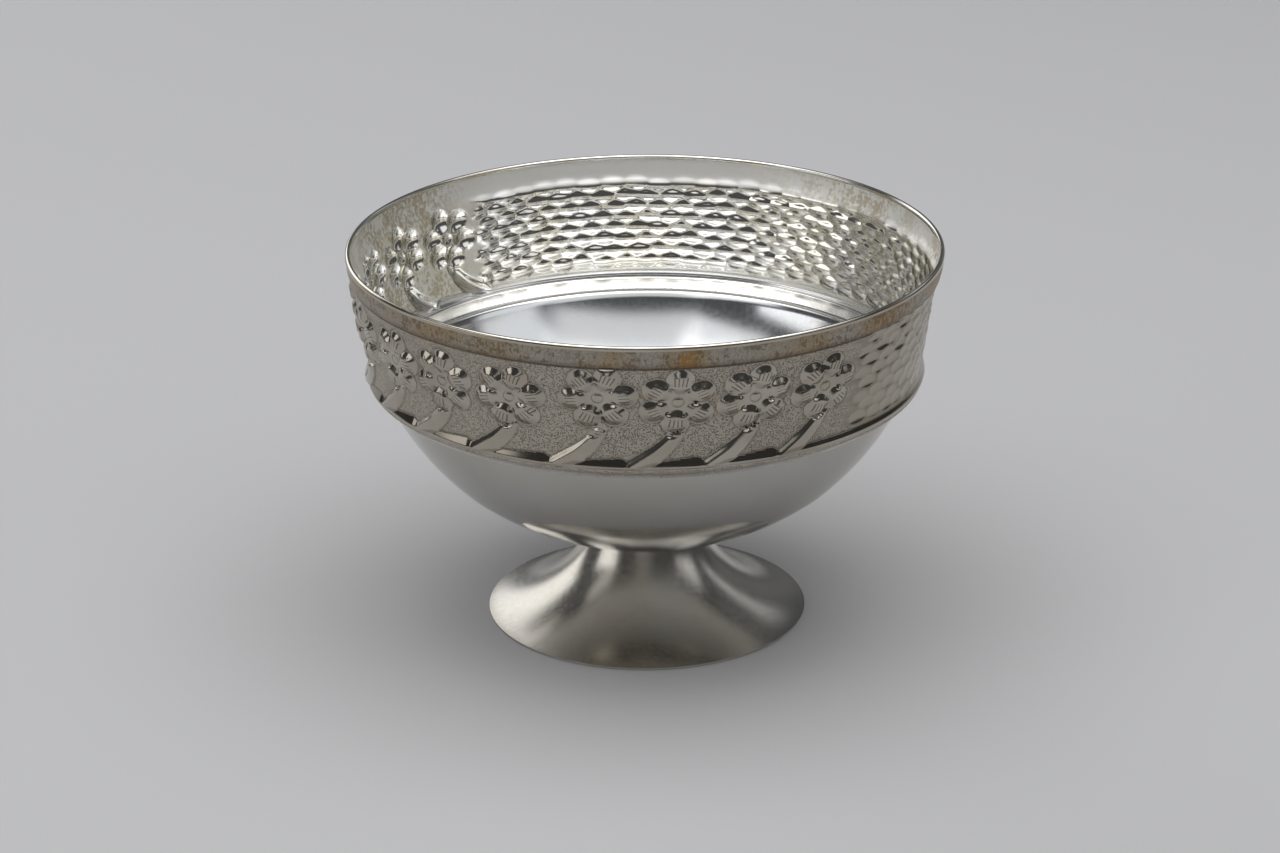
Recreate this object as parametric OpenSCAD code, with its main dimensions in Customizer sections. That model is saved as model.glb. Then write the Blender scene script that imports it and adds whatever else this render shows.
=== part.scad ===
// Footed offering bowl in sheet silver, standing on its foot ring.
// A raised dish sits on a trumpet foot. The upright wall round it is one chased band:
// blossoms on stems along a branch for half of the way round, hammer marks for the rest.
// Millimetres, +Z up, origin on the table at the centre of the foot, front at -Y.

/* [Overall] */
// Diameter over the lip wire
bowl_d = 160; // [150:0.5:176]
// Height of the wall, from the bend at the bottom of its outside to the lip wire
wall_h = 33; // [30:0.5:38]
// Depth of the dish outside, from its rim to its lowest point
dish_h = 44.7; // [38:0.1:52]
// Height of the foot, from the table to the lowest point of the dish
foot_h = 22.9; // [19:0.1:27]

/* [Lip wire] */
// Width of the half round wire on the lip
wire_w = 1.4; // [1.1:0.1:2]
// Height of the wire over the end of the wall
wire_h = 1.2; // [1:0.1:1.8]

/* [Wall] */
// Thickness of the sheet in the wall
wall_t = 0.8; // [0.6:0.05:1]
// How far the end of the wall stands in from the wire's outside
wall_set_in = 0.1; // [0:0.05:0.3]
// How far the bottom edge of the wall stands in from the wire's outside
wall_lean = 5.2; // [4:0.1:7]
// Outside radius of the bend from the wall into the ledge
bend_r = 1; // [0.9:0.1:1.3]
// Width of the ledge, from the rim of the dish to the wall's outside
ledge_w = 3.9; // [3.2:0.1:5]
// Fall of the ledge towards the dish, in degrees
ledge_fall = 27; // [22:1:31]
// Depth of the fine line under the collar
line_depth = 0.25; // [0.1:0.05:0.35]
// Width of the fine line
line_w = 0.5; // [0.4:0.1:0.7]
// Height of the plain collar from the line to the lip wire
collar_h = 5; // [4.4:0.1:6]

/* [Blossoms] */
// Number of blossoms along the branch
blossoms = 12; // [6:1:12]
// Angle from one blossom to the next, in degrees
blossom_step = 15.4; // [15:0.1:16]
// Angle of the first blossom, counted from the front towards +X, in degrees
blossom_start = 36.1; // [30:0.1:42]
// Plain ground kept between a blossom and the edge of its tile
blossom_gap = 0.35; // [0.2:0.05:1]
// Height of the outer end of a petal over the ground
petal_rise = 1.5; // [1:0.1:1.6]
// Radius of the button in the middle of a blossom
button_r = 2; // [1.6:0.1:2.2]
// Height of the button over the ground
button_rise = 0.9; // [0.6:0.1:1.2]

/* [Branch and stems] */
// How far the branch roll stands out of the wall
branch_rise = 0.6; // [0.4:0.1:0.9]
// Height of the top of the branch roll above the wall's bottom edge
branch_h = 3.4; // [3.2:0.1:3.8]
// How far a stem stands out of the wall
stem_rise = 1.1; // [0.8:0.1:1.4]
// Distance that a stem sweeps sideways on its way down
stem_sweep = 11; // [8:0.5:12]

/* [Hammer marks] */
// Rows of marks up the wall
mark_rows = 8; // [4:1:8]
// Marks along one row
mark_count = 26; // [14:1:28]
// Depth of a mark
mark_depth = 0.24; // [0.12:0.02:0.3]

/* [Dish] */
// Thickness of the sheet in the dish
dish_t = 0.9; // [0.7:0.05:1.1]
// How much its bottom is raised out of the round of its sides
dish_flat = 1.5; // [1:0.1:2.5]
// Radius at which its sides end and the flatter bottom begins
dish_flat_r = 52.7; // [44:0.1:60]

/* [Foot] */
// Thickness of the sheet in the foot
foot_t = 0.9; // [0.8:0.05:1.1]
// Radius of the foot at the table
foot_r = 43.7; // [40:0.1:46]
// Height of the edge of the foot, less than its sheet, so that it has a flat to stand on
foot_edge_h = 0.7; // [0.55:0.05:0.75]
// Radius of the neck, level with the lowest point of the dish
neck_r = 15.6; // [14:0.1:18]
// Radius of the trumpet curve of the foot
foot_sweep_r = 38.5; // [36:0.5:44]

/* [Solder] */
// Reach of the solder round the neck
neck_solder_w = 1.6; // [1:0.1:2]
// Reach of the solder under the ledge
ledge_solder_w = 1.1; // [0.8:0.1:1.5]

/* [Hidden] */
$fn = 120;

silver = "silver";
silver_dark = "darkgray";
solder = "lightslategray";
// Sides of the wire's round, and of the solder's curves, whose fillets are thin
wire_sides = 12;
solder_sides = 360;

// Overrun of a cut past the face that it opens
over = 0.5;
bowl_r = bowl_d / 2;
wall_base_r = bowl_r - wall_lean;
dish_rim_r = wall_base_r - ledge_w;
square_turn = 90;
front = -square_turn;

// Ledge, whose underside falls from the bend to the rim of the dish and ends flush with its inside
dish_rim_z = foot_h + dish_h;
ledge_slope = tan(ledge_fall);
ledge_in_r = dish_rim_r - dish_t;
ledge_in_z = dish_rim_z - dish_t * ledge_slope;
ledge_rise = wall_t / cos(ledge_fall);
bend_at = [wall_base_r - bend_r, dish_rim_z + (ledge_w - bend_r) * ledge_slope + bend_r / cos(ledge_fall)];
function bend(turn) = [bend_at[0] + bend_r * cos(turn), bend_at[1] - bend_r * sin(turn)];
bend_end = square_turn - ledge_fall;
inside_r = wall_base_r - wall_t;
inside_z = dish_rim_z + ledge_rise + (inside_r - dish_rim_r) * ledge_slope;

// Line of the wall's outside from its bottom edge up to the wire, as shares of its height and flare
wall_shares = [[0, 0], [0.13, 0.01], [0.26, 0.12], [0.44, 0.29], [0.63, 0.48],
               [0.76, 0.62], [0.87, 0.86], [0.93, 0.95], [1, 1]];
wall_base_z = bend_at[1] + bend_r;
wall_top_z = wall_base_z + wall_h;
wall_top_r = bowl_r - wall_set_in;
wall_line = [for (s = wall_shares)
    [wall_base_z + s[0] * wall_h, wall_base_r + s[1] * (wall_top_r - wall_base_r)]];
function wall_r(z) = lookup(z, wall_line);

// Degrees round the bowl for a distance along its wall
function along(distance, r) = distance / r * 180 / PI;
function at(angle, r, z) = [r * cos(angle), r * sin(angle), z];

// The relief lies between the top of the branch and the line under the collar
low_z = wall_base_z + branch_h;
line_z = wall_top_z - collar_h;
top_z = line_z - line_w;
relief_h = top_z - low_z;

// Each blossom has a tile of the wall, cut into columns, and points at the same steps up its sides
petals = 6;
tile_cols = 6;
tile_steps = 4 * tile_cols;
stem_share = 0.255;
tile_low_z = low_z + stem_share * relief_h;
tile_h = top_z - tile_low_z;
tile_z = [for (k = [0:tile_cols]) k == tile_cols ? top_z : tile_low_z + tile_h * k / tile_cols];
blossom_z = tile_low_z + tile_h / 2;

// How far each blossom is turned and how far it strays from its even place, in degrees
blossom_turns = [12, 14, 25, 7, 12, 19, 10, 26, 16, 4, 22, 12];
blossom_strays = [0, 0.1, 0.6, 1, -1.1, -1.4, -0.7, -0.5, -0.4, -0.2, -0.1, 0.1];
function blossom_angle(i) = front + blossom_start - blossom_step * i + blossom_strays[i];

// Tiles are counted with the angle, so the last blossom has the first tile
function tile_angle(t) = blossom_angle(blossoms - 1 - t);
tile_edges = [for (t = [0:blossoms])
    t == 0 ? tile_angle(0) - blossom_step / 2
    : t == blossoms ? tile_angle(t - 1) + blossom_step / 2
    : (tile_angle(t - 1) + tile_angle(t)) / 2];

// Columns run on from the tiles through the hammer marks, with one plain column at either end of these
branch_cols = blossoms * tile_cols;
mark_cols = 2 * mark_count;
mark_lines = 2 * mark_rows;
all_cols = branch_cols + mark_cols + 2;
marks_turn = tile_edges[0] + 360 - tile_edges[blossoms];
function column(n) = n >= branch_cols
    ? tile_edges[blossoms] + marks_turn * (n - branch_cols) / (mark_cols + 2)
    : let (t = floor(n / tile_cols))
        tile_edges[t] + (tile_edges[t + 1] - tile_edges[t]) * (n % tile_cols) / tile_cols;

// Below the tiles the columns sweep sideways with the stems, except near the ends of the branch
function end_share(n, width) = n >= branch_cols ? 0 : min(1, n / width, (branch_cols - n) / width);
stem_curve = 1.4;
stem_squeeze_share = 0.4;
function sweep(z) = stem_sweep * pow(min(1, (tile_low_z - z) / (tile_low_z - low_z)), stem_curve);
function squeeze(n) = n >= branch_cols ? 0 : [0, 0, 1, 0, -1, 0][n % tile_cols] * stem_squeeze_share;
function column_at(n, z) = z >= tile_low_z ? column(n)
    : column(n) + (z < low_z ? 0 : squeeze(n) * blossom_step / tile_cols)
        - along(sweep(z), wall_base_r) * end_share(n, tile_cols / 2);

// Rise of a stem, which runs down the middle column of its tile
function stem_rise_at(n, z) = n >= branch_cols || n % tile_cols != tile_cols / 2 || z >= tile_low_z || z < low_z
    ? 0
    : stem_rise;

// Point of the wall's outside on a column, or of its inside where skin is the sheet
function wall_point(n, z, skin) = at(column_at(n, z), wall_r(z) - skin + stem_rise_at(n, z), z);

// Triangles of a grid of points, whose rows are given from the bottom up
function quad(a, b, c, d) = [[a, c, b], [a, d, c]];
function grid(rows) = [for (j = [0:len(rows) - 2], i = [0:len(rows[0]) - 2])
    each quad(rows[j][i], rows[j][i + 1], rows[j + 1][i + 1], rows[j + 1][i])];

// Triangles between two chains of points that need not have the same number of steps
function ladder(left, right) =
    let (n = len(left) - 1, m = len(right) - 1, meet = [for (i = [0:n - 1]) round(m * (i + 0.5) / n)])
    concat(
        [for (i = [0:n - 1]) [left[i], left[i + 1], right[meet[i]]]],
        [for (j = [0:m - 1]) let (a = len([for (b = meet) if (b <= j) b])) [left[a], right[j + 1], right[j]]]);

// A blossom fills its tile up to the gap, so it is an oval: half its width and half its height
function blossom_size(t) =
    let (turn = min(tile_angle(t) - tile_edges[t], tile_edges[t + 1] - tile_angle(t)))
    [turn * wall_r(blossom_z) * PI / 180 - blossom_gap, tile_h / 2 - blossom_gap];

// Outline of a blossom: round petals, whose reach depends on the angle from the nearest one's middle
petal_share = 0.376;
ring_share = 1 - petal_share;
function reach_share(turn) = ring_share * cos(turn) + sqrt(pow(petal_share, 2) - pow(ring_share * sin(turn), 2));

// Rings of a blossom from its button out: radius, share of the petals' reach added to it, and rise
// in the middle of a petal and between two. The hollow behind has fewer.
button_edge_share = 0.75;
pit_out_share = 1.35;
pit_rise_share = 0.35;
crest_share = 0.8;
crease_share = 0.3;
crest_ring = [0, crest_share, petal_rise, crease_share * petal_rise];
outer_ring = [0, 1, 0, 0];
face_rings = [[button_r, 0, button_edge_share * button_rise, button_edge_share * button_rise],
              [pit_out_share * button_r, 0, pit_rise_share * petal_rise, 0], crest_ring, outer_ring];
back_rings = [crest_ring, outer_ring];

// Point of a tile's edge, counted from its lower right corner
function tile_rim(t, p, skin) =
    let (side = floor(p / tile_cols), k = p % tile_cols, n = t * tile_cols)
    side == 0 ? wall_point(n + tile_cols, tile_z[k], skin)
    : side == 1 ? wall_point(n + tile_cols - k, top_z, skin)
    : side == 2 ? wall_point(n, tile_z[tile_cols - k], skin)
    : wall_point(n + k, tile_low_z, skin);

// Point of a blossom's ring; steps of the ring fall on the middle of each petal
function ring_point(t, ring, p, skin) =
    let (step = 360 / tile_steps,
         turn = blossom_turns[blossoms - 1 - t],
         whole = round(turn / step),
         spoke = p - tile_cols / 2,
         from_petal = ((spoke - whole) * step + 360 + 180 / petals) % (360 / petals) - 180 / petals,
         lobe = sqrt((1 + cos(petals * from_petal)) / 2),
         reach = [ring[0], ring[0]] + ring[1] * reach_share(from_petal) * blossom_size(t),
         a = spoke * step + turn - whole * step,
         z = blossom_z + reach[1] * sin(a))
    at(tile_angle(t) + along(reach[0] * cos(a), wall_r(z)),
       wall_r(z) - skin + ring[3] + (ring[2] - ring[3]) * lobe, z);

function blossom(t, rings, skin) =
    let (rows = concat(
            [[for (p = [0:tile_steps]) tile_rim(t, p % tile_steps, skin)]],
            [for (r = [len(rings) - 1:-1:0]) [for (p = [0:tile_steps]) ring_point(t, rings[r], p, skin)]]),
         inner = rows[len(rows) - 1],
         middle = at(tile_angle(t), wall_r(blossom_z) - skin + button_rise, blossom_z))
    concat(grid(rows), [for (p = [0:tile_steps - 1]) [inner[p], middle, inner[p + 1]]]);

// Ground and stems below the tiles
stem_shares = [0, 0.35, 0.7];
stem_z = concat([for (s = stem_shares) low_z + s * (tile_low_z - low_z)], [tile_low_z]);
function stems(skin) = grid([for (z = stem_z) [for (n = [0:branch_cols]) wall_point(n, z, skin)]]);

// Hammer marks on a grid of half marks: the middle of every mark is struck inwards, its border is not
function mark_middle(i, j) = i > 0 && i < mark_cols && j % 2 == 1 && (i + (j - 1) / 2) % 2 == 0;
mark_z = [for (j = [0:mark_lines]) j == mark_lines ? top_z : low_z + relief_h * j / mark_lines];
function mark_point(i, j, skin) = wall_point(branch_cols + 1 + i, mark_z[j], skin)
    - (mark_middle(i, j) ? at(column(branch_cols + 1 + i), mark_depth, 0) : [0, 0, 0]);
function marks(skin) = [for (j = [0:mark_lines - 1], i = [0:mark_cols - 1])
    let (a = mark_point(i, j, skin), b = mark_point(i + 1, j, skin),
         c = mark_point(i + 1, j + 1, skin), d = mark_point(i, j + 1, skin))
    each (mark_middle(i, j) || mark_middle(i + 1, j + 1) ? [[a, c, b], [a, d, c]] : [[a, d, b], [b, d, c]])];

// Everything between the branch and the line, on one skin of the sheet
edge_z = concat([stem_z[0], stem_z[1], stem_z[2]], tile_z);
function mark_edge(i, skin) = [for (j = [0:mark_lines]) mark_point(i, j, skin)];
function tile_edge(n, skin) = [for (z = edge_z) wall_point(n, z, skin)];
function relief(rings, skin) = concat(
    [for (t = [0:blossoms - 1]) each blossom(t, rings, skin)],
    stems(skin),
    marks(skin),
    ladder(tile_edge(branch_cols, skin), mark_edge(0, skin)),
    ladder(mark_edge(mark_cols, skin), tile_edge(0, skin)));

// A plain row of points right round the bowl
function hoop(z, r, rise) = [for (n = [0:all_cols])
    at(column_at(n % all_cols, z), r + rise * end_share(n % all_cols, 2), z)];
function wall_hoop(z, skin, sunk) = [for (n = [0:all_cols])
    wall_point(n % all_cols, z, skin) - at(column_at(n % all_cols, z), sunk, 0)];

// From the relief up the collar, over the wall's top and down inside
collar = [
    wall_hoop(top_z, 0, 0),
    wall_hoop(line_z - line_w / 2, 0, 0),
    wall_hoop(line_z, 0, line_depth),
    wall_hoop(line_z + line_w / 2, 0, 0),
    hoop(wall_top_z, wall_top_r, 0),
    hoop(wall_top_z, wall_top_r - wall_t, 0),
    wall_hoop(top_z, wall_t, 0)];

branch_crest_share = 0.6;
// From the relief's inside down to the ledge, round its end and back under it to the branch
ledge = [
    wall_hoop(low_z, wall_t, 0),
    hoop(inside_z, inside_r, 0),
    hoop(ledge_in_z + ledge_rise, ledge_in_r, 0),
    hoop(ledge_in_z, ledge_in_r, 0),
    hoop(bend(bend_end)[1], bend(bend_end)[0], 0),
    hoop(bend(bend_end / 3)[1], bend(bend_end / 3)[0], branch_rise),
    hoop(wall_base_z + branch_crest_share * branch_h, wall_base_r, branch_rise),
    wall_hoop(low_z, 0, 0)];

module chased_band() {
    inside = [for (f = relief(back_rings, wall_t)) [f[0], f[2], f[1]]];
    triangles = concat(relief(face_rings, 0), inside, grid(collar), grid(ledge));
    color(silver_dark) polyhedron(
        [for (f = triangles) each f],
        [for (k = [0:len(triangles) - 1]) [3 * k, 3 * k + 1, 3 * k + 2]]);
}

// Half round wire, whose flat side lies on the end of the wall
module lip_wire() {
    round_z = wire_h - wire_w / 2;
    color(silver) rotate_extrude() translate([bowl_r - wire_w / 2, wall_top_z]) {
        translate([-wire_w / 2, 0]) square([wire_w, round_z]);
        intersection() {
            translate([0, round_z]) circle(d = wire_w, $fn = wire_sides);
            translate([-wire_w / 2, 0]) square([wire_w, wire_h]);
        }
    }
}

// Two balls give the outside of the dish: one for its sides, one for its bottom
function ball_r(circle_r, rise) = (pow(circle_r, 2) + pow(rise, 2)) / (2 * rise);
dish_side_r = ball_r(dish_rim_r, dish_h + dish_flat);
dish_side_z = foot_h - dish_flat + dish_side_r;
dish_flat_h = dish_side_z - sqrt(pow(dish_side_r, 2) - pow(dish_flat_r, 2)) - foot_h;
dish_bottom_r = ball_r(dish_flat_r, dish_flat_h);
dish_floor_z = foot_h + dish_bottom_r;
// Radius of the outside of the dish at a height on its side, and its height at a radius on its bottom
function dish_r(z) = sqrt(pow(dish_side_r, 2) - pow(dish_side_z - z, 2));
function dish_z(r) = dish_floor_z - sqrt(pow(dish_bottom_r, 2) - pow(r, 2));

// Everything inside the outside face of the dish, or inside its inside face where skin is the sheet
module dish_ball(skin)
    intersection() {
        translate([0, 0, dish_side_z]) sphere(r = dish_side_r - skin);
        translate([0, 0, dish_floor_z]) sphere(r = dish_bottom_r - skin);
    }

// Everything over the underside of the ledge
module above_ledge() {
    far_r = dish_rim_r + dish_side_r;
    top = dish_side_z + dish_side_r + over;
    rotate_extrude() polygon([[0, ledge_in_z], [ledge_in_r, ledge_in_z],
        [far_r, ledge_in_z + (far_r - ledge_in_r) * ledge_slope], [far_r, top], [0, top]]);
}

module dish()
    color(silver) difference() {
        dish_ball(0);
        dish_ball(dish_t);
        above_ledge();
    }

// Centre of the trumpet curve, which passes through the edge of the foot and the neck
sweep_half = [(neck_r - foot_r) / 2, (foot_h - foot_edge_h) / 2];
sweep_back = sqrt(pow(foot_sweep_r, 2) - pow(norm(sweep_half), 2)) / norm(sweep_half);
sweep_at = [(neck_r + foot_r) / 2 + sweep_half[1] * sweep_back,
            (foot_h + foot_edge_h) / 2 - sweep_half[0] * sweep_back];
// Radius of the foot's outside at a height
function trumpet_r(z) = sweep_at[0] - sqrt(pow(foot_sweep_r, 2) - pow(sweep_at[1] - z, 2));

// Everything inside the foot's outside face, or inside its hidden face where skin is the sheet
module trumpet(skin, below)
    rotate_extrude() difference() {
        translate([0, -below]) square([foot_r, dish_floor_z]);
        translate(sweep_at) circle(r = foot_sweep_r + skin);
    }

module foot()
    color(silver) difference() {
        trumpet(0, 0);
        trumpet(foot_t, over);
        dish_ball(0);
    }

// Fillet in the corner under the ledge, outside the dish
module ledge_solder() {
    $fn = solder_sides;
    color(solder) difference() {
        rotate_extrude() polygon([
            [dish_r(dish_rim_z - ledge_solder_w), dish_rim_z - ledge_solder_w],
            [dish_rim_r + ledge_solder_w, dish_rim_z + ledge_solder_w * ledge_slope],
            [dish_rim_r - dish_t, dish_rim_z]]);
        dish_ball(0);
        above_ledge();
    }
}

// Fillet in the corner between the foot's neck and the underside of the dish
module neck_solder() {
    $fn = solder_sides;
    joint_z = dish_z(neck_r);
    color(solder) difference() {
        rotate_extrude() polygon([
            [trumpet_r(joint_z - neck_solder_w), joint_z - neck_solder_w],
            [neck_r + neck_solder_w, dish_z(neck_r + neck_solder_w)],
            [neck_r - foot_t, joint_z]]);
        dish_ball(0);
        trumpet(0, 0);
    }
}

lip_wire();
chased_band();
dish();
foot();
ledge_solder();
neck_solder();
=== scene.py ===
import math
import bpy
import numpy as np
from mathutils import Matrix, Vector


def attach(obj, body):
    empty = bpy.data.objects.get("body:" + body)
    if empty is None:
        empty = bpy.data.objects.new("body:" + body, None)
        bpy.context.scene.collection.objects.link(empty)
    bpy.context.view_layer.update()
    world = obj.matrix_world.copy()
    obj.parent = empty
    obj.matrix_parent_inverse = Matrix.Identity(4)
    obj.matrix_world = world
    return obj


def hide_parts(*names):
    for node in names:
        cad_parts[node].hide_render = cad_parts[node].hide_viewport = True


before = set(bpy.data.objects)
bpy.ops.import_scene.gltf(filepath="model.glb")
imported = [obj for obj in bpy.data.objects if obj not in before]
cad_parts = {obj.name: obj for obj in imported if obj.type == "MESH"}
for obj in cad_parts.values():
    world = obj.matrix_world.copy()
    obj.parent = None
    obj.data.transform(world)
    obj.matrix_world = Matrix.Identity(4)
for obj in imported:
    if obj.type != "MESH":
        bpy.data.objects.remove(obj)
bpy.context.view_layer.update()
mm = 0.001
mergeWithin = 0.000002  # metres

# the bowl stands on its foot: axis on z, front at -y, blossoms from the front round to the left
# lengths in the dictionaries are millimetres, and turns are degrees from the front to the right


def smoothStep(low, high, value):  # falls where high is under low
    t = np.clip((value - low) / (high - low), 0.0, 1.0)
    return t * t * (3 - 2 * t)


def bevelRise(share, foot, top):  # an even slope from 0 to 1 with its two ends rounded
    share = np.clip(share, 0, 1)
    low = share**2 / (2 * foot)
    high = 1 - top / 2 - foot / 2 - (1 - share) ** 2 / (2 * top)
    middle = share - foot / 2
    return np.where(share < foot, low, np.where(share > 1 - top, high, middle)) / (1 - top / 2 - foot / 2)


def lineAt(points, at):  # smooth curve through points, without overshoot
    x = np.array([p[0] for p in points])
    y = np.array([p[1] for p in points])
    slope = np.diff(y) / np.diff(x)
    product = slope[1:] * slope[:-1]
    total = slope[1:] + slope[:-1]
    inner = np.where(product > 0, 2 * product / np.where(total == 0, 1, total), 0)
    tangent = np.concatenate([[slope[0]], inner, [slope[-1]]])
    at = np.clip(at, x[0], x[-1])
    i = np.clip(np.searchsorted(x, at) - 1, 0, len(x) - 2)
    w = x[i + 1] - x[i]
    t = (at - x[i]) / w
    return ((2 * t**3 - 3 * t**2 + 1) * y[i] + (t**3 - 2 * t**2 + t) * w * tangent[i]
            + (3 * t**2 - 2 * t**3) * y[i + 1] + (t**3 - t**2) * w * tangent[i + 1])


def arcPoints(middle, radius, fromTurn, toTurn, count):  # turns in radians, points (radius, height)
    return [(middle[0] + radius * math.cos(t), middle[1] + radius * math.sin(t))
            for t in np.linspace(fromTurn, toTurn, count)]


def straightPoints(start, end, count):
    return [(start[0] + share * (end[0] - start[0]), start[1] + share * (end[1] - start[1]))
            for share in np.linspace(0, 1, count)]


def nearestTo(points, radius):  # the point of an outline that is nearest to this radius
    return min(points, key=lambda p: abs(p[0] - radius))


def onlySelect(piece):
    bpy.ops.object.select_all(action="DESELECT")
    piece.select_set(True)
    bpy.context.view_layer.objects.active = piece


def outlineRing(name, outline):  # a ring of points, set on the outline (radius, height) in the xz plane
    bpy.ops.object.select_all(action="DESELECT")
    bpy.ops.mesh.primitive_circle_add(vertices=len(outline), radius=1.0, fill_type="NOTHING")
    piece = bpy.context.object
    piece.name = name
    piece.data.name = name
    for point, (r, z) in zip(piece.data.vertices, outline):
        point.co = (r * mm, 0.0, z * mm)
    return piece


def markBack(piece, first):  # the outline's points from this one on are the inside face; on the lip wire also its top
    layer = piece.data.attributes.new("isBack", "FLOAT", "POINT")
    layer.data.foreach_set("value", [float(i >= first) for i in range(len(piece.data.vertices))])


def sweepRound(steps, copies, angle):  # a short strip is spun, and then copied round, which is quicker
    bpy.ops.object.mode_set(mode="EDIT")
    bpy.ops.mesh.select_all(action="SELECT")
    bpy.ops.mesh.spin(steps=steps, angle=-angle / copies, center=(0, 0, 0), axis=(0, 0, 1))
    bpy.ops.mesh.select_all(action="SELECT")
    bpy.ops.mesh.spin(steps=copies - 1, dupli=True, angle=-angle * (copies - 1) / copies,
                      center=(0, 0, 0), axis=(0, 0, 1))
    bpy.ops.mesh.select_all(action="SELECT")
    bpy.ops.mesh.remove_doubles(threshold=mergeWithin)
    bpy.ops.mesh.delete_loose()
    bpy.ops.mesh.select_all(action="SELECT")
    bpy.ops.mesh.fill_holes(sides=0)
    bpy.ops.mesh.select_all(action="SELECT")
    bpy.ops.mesh.normals_make_consistent(inside=False)
    bpy.ops.object.mode_set(mode="OBJECT")


def turned(name, outline, sharpOver, steps=16, copies=16, firstBack=None):  # steps in each copied strip
    piece = outlineRing(name, outline)
    markBack(piece, firstBack or len(outline))
    onlySelect(piece)
    sweepRound(steps, copies, 2 * math.pi)
    bpy.ops.object.shade_smooth_by_angle(angle=math.radians(sharpOver))
    return piece


def settle(piece, node):  # every piece rides on the one body and stands for a CAD node
    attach(piece, "root")
    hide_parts(node)


# the chased wall: its plain section first

wall = {
    "line": [(71.2, 74.8), (75.5, 74.85), (79.8, 75.4), (85.7, 76.3), (92.0, 77.25),
             (96.3, 77.95), (99.9, 79.2), (101.9, 79.65), (104.2, 79.9)],  # height, outside radius
    "sheet": 0.8,
    "bendMiddle": (73.8, 70.2),  # radius, height
    "bendRadius": 1.0,
    "ledgeEnd": (70.0, 67.142),
    "ledgeFall": math.radians(27),
    "groove": 99.1,  # under the plain collar
    "grooveWide": 0.26,
    "grooveDeep": 0.24,
    # painted shade along the groove
    "grooveShade": 0.9,
    "reliefTo": 98.8,
    "faceStep": 0.29,  # spacing of the rows of points outside
    "backStep": 0.46,
    "collarStep": 0.8,
    "cornerFree": 0.2,  # no row is nearer than this over the inside corner
    "points": {"bend": 7, "under": 5, "end": 6, "ledge": 8},
    "sectors": {"bandFront": (-49.4, 44.2), "bandLeft": (-141.4, -49.4), "bandHammered": (44.2, 218.6)},
    "steps": 22,  # in each of the copied strips of a sector
    "copies": 20,
    "sharpOver": 75,
    "tarnish": [(-38, 15, 0.6), (-10, 7, 0.6), (7.4, 3.2, 1.15), (50, 22, 0.85), (-75, 16, 0.4),
                (82, 14, 0.5), (-118, 16, 0.6), (128, 22, 0.3)],  # turn, width in degrees, strength
    "leastTarnish": 0.12,
}


def wallOutline():  # the outside from the ledge up to the end, and the inside back down
    end = wall["ledgeEnd"]
    count = wall["points"]
    bend = arcPoints(wall["bendMiddle"], wall["bendRadius"], wall["ledgeFall"] - math.pi / 2, 0.0,
                     count["bend"])
    face = straightPoints(end, bend[0], count["under"])[:-1] + bend
    wallTop = wall["line"][-1][0]
    groove, wide = wall["groove"], wall["grooveWide"]
    heights = list(np.arange(bend[-1][1] + wall["faceStep"], wall["reliefTo"], wall["faceStep"]))
    heights += list(np.arange(wall["reliefTo"], groove + 2 * wide, wide / 3))  # finer rows in the groove
    heights += list(np.linspace(groove + 2.3 * wide, wallTop, count["end"]))
    face += [(float(lineAt(wall["line"], z)), float(z)) for z in heights]
    sheetUp = wall["sheet"] / math.cos(wall["ledgeFall"])
    cornerRadius = wall["line"][0][1] - wall["sheet"]
    cornerHeight = end[1] + sheetUp + (cornerRadius - end[0]) * math.tan(wall["ledgeFall"])
    heights = list(np.arange(wallTop, wall["reliefTo"], -wall["collarStep"]))
    heights += list(np.arange(wall["reliefTo"], cornerHeight + wall["cornerFree"], -wall["backStep"]))
    back = [(float(lineAt(wall["line"], z)) - wall["sheet"], float(z)) for z in heights]
    back += straightPoints((cornerRadius, cornerHeight), (end[0], end[1] + sheetUp), count["ledge"])
    return face, back


def wrapTurn(turn):
    return (turn + 180.0) % 360.0 - 180.0


def tarnishAt(turn):  # brown patches on the collar
    amount = np.full(turn.shape, wall["leastTarnish"])
    for middle, wide, strength in wall["tarnish"]:
        amount = amount + strength * np.exp(-((wrapTurn(turn - middle)) / wide) ** 2)
    return amount


# a blossom: six petals with their hollow backs, round a button

blossom = {
    "places": [(36.1, 88.3, 12), (20.8, 89.2, 14), (5.9, 89.7, 25), (-9.1, 90.8, 7), (-26.7, 88.5, 12),
               (-42.4, 88.4, 19), (-57.0, 88.5, 10), (-72.2, 89.0, 26), (-87.5, 89.2, 16), (-102.7, 89.0, 4),
               (-118.0, 89.3, 22), (-133.3, 89.3, 12)],  # turn round the wall, height, its own turn
    "reach": (-20, 12, 20),  # left and right with its stem, up and down
    "wide": 1.07,
    "tall": 0.945,
    "petals": 6,
    "roundAt": 6.25,  # middle of the round end of a petal
    "roundRadius": 3.45,
    "backGrow": -0.1,  # petals are smaller inside
    "rise": 1.4,
    "low": 0.4,  # height round the button
    "climb": (2.0, 4.6),  # from low to rise, away from the middle
    "climbLater": 0.9,  # between two petals
    "climbRounding": (0.12, 0.25),  # shares at its foot and at its top
    "bevel": 2.7,  # width of a petal's slope
    "bevelRounding": (0.07, 0.3),
    "hollow": (5.9, 4.3, 1.5),  # middle, radius and depth of a petal's back
    "creaseWide": 0.42,
    "creaseDeep": 0.28,
    "creaseFrom": (3.4, 4.6),
    "buttonRadius": 1.6,
    "buttonRise": 0.75,
    "buttonBack": 0.5,  # share of the rise that shows inside
    "pitAt": 4.15,
    "pitRadius": 0.62,
    "pitDeep": 0.5,
    "petalShade": (0.6, 0.32),  # painted shade: strength, width beside the outline
    # painted shade beside the stems, and in the pits between the petals
    "stemShade": (0.5, 0.3),
    "pitShade": 0.45,
    "patternReach": 10.5,  # the finish finds its place on a petal as far as this
    "noPetal": 50.0,
}

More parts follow.
